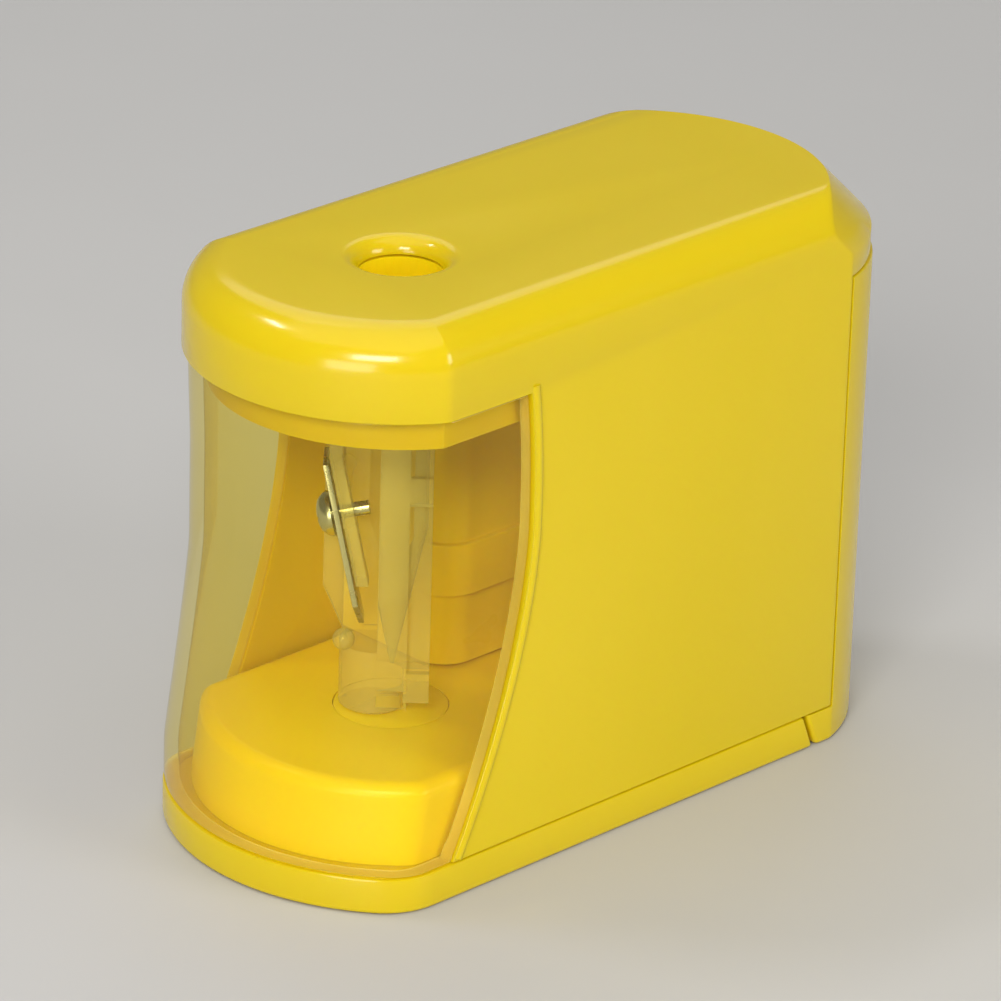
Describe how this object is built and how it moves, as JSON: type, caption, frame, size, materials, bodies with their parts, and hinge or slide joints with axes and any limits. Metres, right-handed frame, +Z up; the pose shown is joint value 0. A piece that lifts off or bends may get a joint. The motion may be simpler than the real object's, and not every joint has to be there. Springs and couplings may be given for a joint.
{
  "type": "pencil sharpener",
  "caption": "Upright electric pencil sharpener with a top pencil hole, a clear front shavings window, a spinning blade carrier and a rear battery cover.",
  "frame": {"origin": "centre of the footprint, on the table under the feet", "axes": "+Z up along the pencil, -Y out of the shavings window, +X to the right when the window faces the viewer"},
  "size_m": [0.045, 0.1018, 0.0752],
  "materials": {
    "yellow_shell": "glossy moulded ABS",
    "yellow_inner": "moulded ABS, less glossy",
    "window_clear": "clear moulded styrene, faint amber tint",
    "carrier_clear": "translucent moulded plastic",
    "steel": "ground and hardened",
    "zinc_steel": "zinc plated",
    "nickel_spring": "nickel plated spring steel",
    "brass": "turned",
    "gear_acetal": "moulded acetal",
    "black_plastic": "moulded, satin",
    "ferrite": "sintered ferrite",
    "rubber_foot": "matt rubber",
    "cell_jacket": "printed shrink film, plain",
    "wire_red": "soft insulation",
    "wire_black": "soft insulation"
  },
  "bodies": {
    "frame": {"upper_housing": "yellow_shell", "base_plate": "yellow_shell", "gearbox_cover": "yellow_shell", "pencil_guide": "yellow_shell", "chamber_wall": "yellow_shell", "battery_cradle": "yellow_inner", "battery_cell_left": "cell_jacket", "battery_cell_right": "cell_jacket", "series_contact": "nickel_spring", "contact_positive": "nickel_spring", "contact_negative": "nickel_spring", "motor_can": "zinc_steel", "motor_end_cap": "black_plastic", "magnet_front": "ferrite", "magnet_rear": "ferrite", "gear_pin": "steel", "output_bush": "brass", "switch_body": "black_plastic", "wire_positive": "wire_red", "wire_negative": "wire_black", "case_screw_1": "zinc_steel", "case_screw_2": "zinc_steel", "case_screw_3": "zinc_steel", "case_screw_4": "zinc_steel", "rubber_foot_1": "rubber_foot", "rubber_foot_2": "rubber_foot", "rubber_foot_3": "rubber_foot", "rubber_foot_4": "rubber_foot"},
    "drive": {"output_gear": "gear_acetal", "carrier_spring": "nickel_spring"},
    "carrier": {"cutter_carrier": "carrier_clear", "carrier_foot": "yellow_shell", "sharpening_blade": "steel", "blade_screw": "steel"},
    "compound": {"compound_gear": "gear_acetal"},
    "rotor": {"motor_rotor": "steel", "motor_pinion": "brass"},
    "plunger": {"switch_plunger": "gear_acetal"},
    "window": {"shavings_window": "window_clear"},
    "cover": {"rear_cover": "yellow_shell"}
  },
  "joints": [
    {"name": "drive_spin", "type": "hinge", "parent": "frame", "child": "drive", "pos_m": [0, -0.02315, 0], "axis": [0, 0, 1], "continuous": true},
    {"name": "carrier_press", "type": "slide", "parent": "drive", "child": "carrier", "axis": [0, 0, -1], "range_m": [0, 0.001], "stiffness_N_per_m": 400, "springref_m": -0.002, "deforming": ["carrier_spring"]},
    {"name": "compound_spin", "type": "hinge", "parent": "frame", "child": "compound", "pos_m": [-0.00084, -0.00747, 0], "axis": [0, 0, 1], "continuous": true},
    {"name": "rotor_spin", "type": "hinge", "parent": "frame", "child": "rotor", "pos_m": [-0.0112, -0.0003, 0], "axis": [0, 0, 1], "continuous": true},
    {"name": "plunger_press", "type": "slide", "parent": "frame", "child": "plunger", "axis": [0, 0, -1], "range_m": [0, 0.001]},
    {"name": "window_pull", "type": "slide", "parent": "frame", "child": "window", "axis": [0, -1, 0], "range_m": [0, 0.06]},
    {"name": "cover_pull", "type": "slide", "parent": "frame", "child": "cover", "axis": [0, 1, 0], "range_m": [0, 0.06]}
  ],
  "couplings": [
    {"joint": "compound_spin", "follows": "rotor_spin", "ratio": -0.25},
    {"joint": "drive_spin", "follows": "rotor_spin", "ratio": 0.075},
    {"joint": "plunger_press", "follows": "carrier_press", "ratio": 1}
  ]
}
